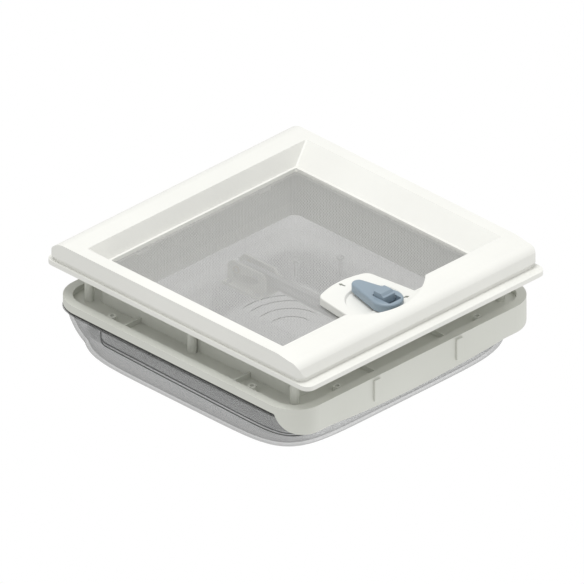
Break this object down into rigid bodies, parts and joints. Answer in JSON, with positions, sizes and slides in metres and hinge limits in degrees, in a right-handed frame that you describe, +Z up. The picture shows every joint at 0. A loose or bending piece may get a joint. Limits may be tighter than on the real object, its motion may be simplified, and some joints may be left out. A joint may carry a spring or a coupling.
{
  "type": "roof vent cover",
  "caption": "Square crank-operated caravan roof vent: double-glazed hinged dome in an outer frame, trim frame with fly screen and folding-grip crank below.",
  "frame": {"origin": "centre of the square roof cut-out, on the roof's outer skin", "axes": "+Z up to the sky, +Y towards the dome's hinges, crank in the front bar at -Y"},
  "size_m": [0.324, 0.346, 0.1196],
  "materials": {
    "frame_plastic": "fine textured moulding",
    "trim_plastic": "smooth satin moulding",
    "sleeve_plastic": "smooth moulding",
    "screen_mesh": "fine woven fly mesh",
    "seal_rubber": "extruded seal",
    "smoked_acrylic": "clear grey tint",
    "clear_acrylic": "clear",
    "crank_plastic": "blue grey satin",
    "screw_steel": "zinc plated",
    "gear_steel": "machined",
    "gear_plastic": "natural acetal",
    "housing_plastic": "moulded",
    "bush_brass": "turned",
    "arm_steel": "pressed",
    "rail_plastic": "moulded",
    "hinge_plastic": "moulded"
  },
  "bodies": {
    "frame": {"cover_screws": "screw_steel", "crank_plate": "trim_plastic", "dome_seal": "seal_rubber", "drive_housing": "housing_plastic", "fly_screen": "screen_mesh", "hinge_bracket_left": "hinge_plastic", "hinge_bracket_right": "hinge_plastic", "hinge_pin_left": "arm_steel", "hinge_pin_right": "arm_steel", "housing_cover": "housing_plastic", "inner_frame": "trim_plastic", "lower_bush": "bush_brass", "mounting_screws": "screw_steel", "neck_sleeve": "sleeve_plastic", "outer_frame": "frame_plastic", "screen_clips": "trim_plastic", "screen_frame": "trim_plastic", "skirt_clip_left": "frame_plastic", "skirt_clip_right": "frame_plastic", "upper_bush": "bush_brass", "wheel_shaft": "arm_steel"},
    "dome": {"outer_glazing": "smoked_acrylic", "inner_glazing": "clear_acrylic", "glazing_studs": "screw_steel", "hinge_leaf_left": "hinge_plastic", "hinge_leaf_right": "hinge_plastic", "leaf_screws": "screw_steel", "dome_rail": "rail_plastic", "rail_screws": "screw_steel"},
    "crank": {"crank_lever": "crank_plastic", "drive_spindle": "gear_steel", "lever_screw": "screw_steel", "grip_pin": "screw_steel"},
    "grip": {"crank_grip": "crank_plastic"},
    "arm": {"lift_arm": "arm_steel", "worm_wheel": "gear_plastic", "tip_pin": "arm_steel"},
    "roller_left": {"tip_roller_left": "gear_plastic"},
    "roller_right": {"tip_roller_right": "gear_plastic"}
  },
  "joints": [
    {"name": "dome_hinge", "type": "hinge", "parent": "frame", "child": "dome", "pos_m": [0, 0.167, 0.013], "axis": [-1, 0, 0], "range_deg": [0, 30]},
    {"name": "arm_swing", "type": "hinge", "parent": "frame", "child": "arm", "pos_m": [0.016, -0.099, -0.016], "axis": [1, 0, 0], "range_deg": [0, 30.5]},
    {"name": "crank_spin", "type": "hinge", "parent": "frame", "child": "crank", "pos_m": [0.009, -0.116, -0.05], "axis": [0, 0, 1], "range_deg": [0, 1081]},
    {"name": "grip_fold", "type": "hinge", "parent": "crank", "child": "grip", "pos_m": [0.009, -0.1325, -0.0515], "axis": [-1, 0, 0], "range_deg": [0, 90]},
    {"name": "roller_left_spin", "type": "hinge", "parent": "arm", "child": "roller_left", "pos_m": [0.008, 0.051, -0.016], "axis": [1, 0, 0], "continuous": true},
    {"name": "roller_right_spin", "type": "hinge", "parent": "arm", "child": "roller_right", "pos_m": [0.024, 0.051, -0.016], "axis": [1, 0, 0], "continuous": true}
  ],
  "couplings": [
    {"joint": "arm_swing", "follows": "dome_hinge", "ratio": 1},
    {"joint": "crank_spin", "follows": "dome_hinge", "ratio": 36}
  ]
}
